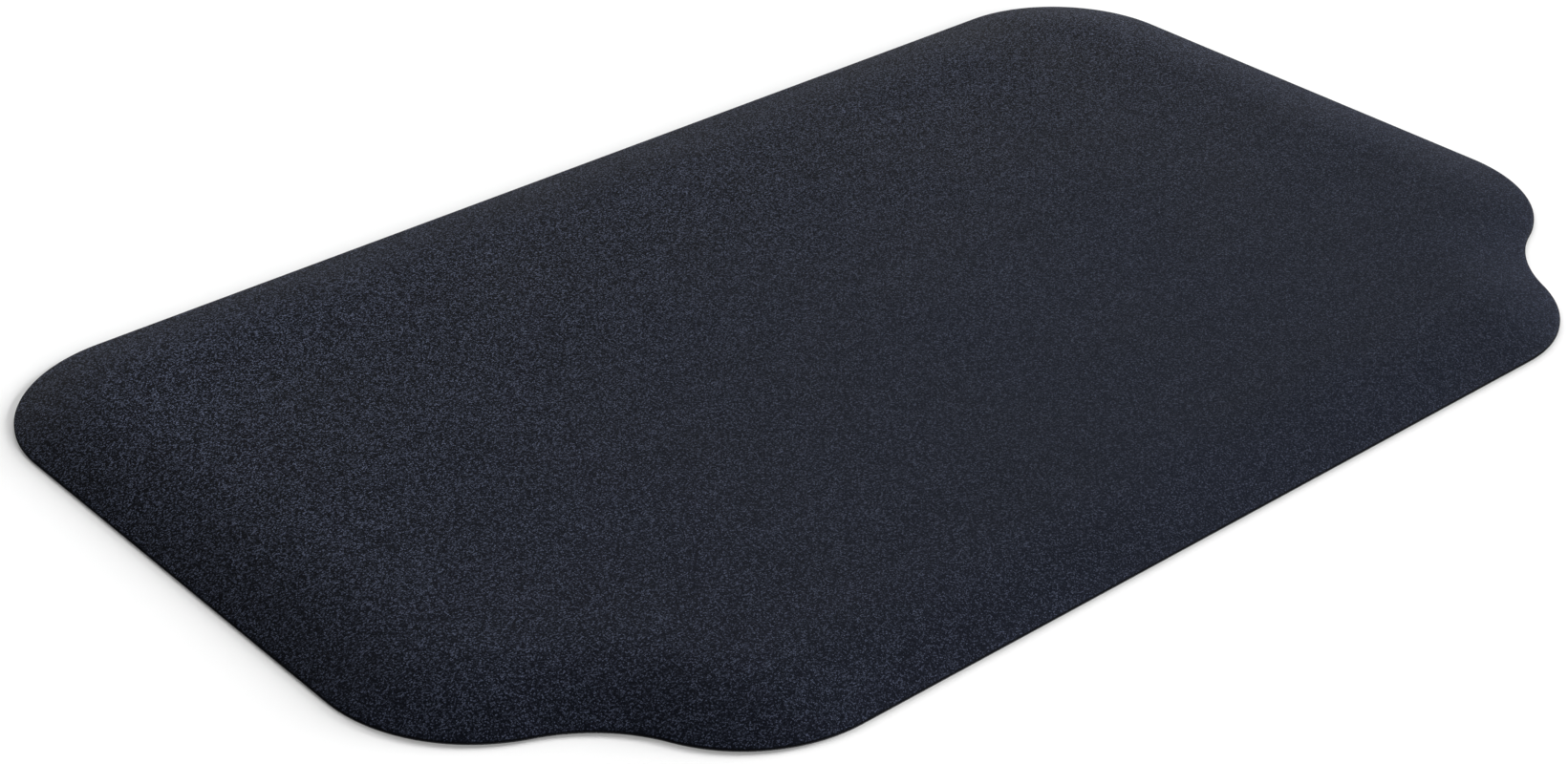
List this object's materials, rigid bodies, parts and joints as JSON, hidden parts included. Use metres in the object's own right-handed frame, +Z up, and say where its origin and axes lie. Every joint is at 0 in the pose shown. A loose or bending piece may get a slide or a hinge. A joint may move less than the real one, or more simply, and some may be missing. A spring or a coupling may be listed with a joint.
{
  "type": "anti-fatigue mat",
  "caption": "Laminated foam standing mat with a grained cover, sloping border, rounded back corners and scalloped front corners.",
  "frame": {"origin": "on the floor under the mat, at the middle of its bounding box", "axes": "+X along the straight back edge, towards the right-hand end seen from the scalloped edge; +Y towards the straight back edge, so the scalloped edge faces -Y; +Z up"},
  "size_m": [0.813, 0.508, 0.0127],
  "materials": {
    "grained_vinyl": "matte",
    "hot_melt_film": "satin",
    "cushion_foam": "matte",
    "anti_slip_rubber": "matte"
  },
  "bodies": {
    "root": {"top_cover": "grained_vinyl", "cover_adhesive": "hot_melt_film", "foam_core": "cushion_foam", "base_adhesive": "hot_melt_film", "base_sheet": "anti_slip_rubber"}
  },
  "joints": []
}
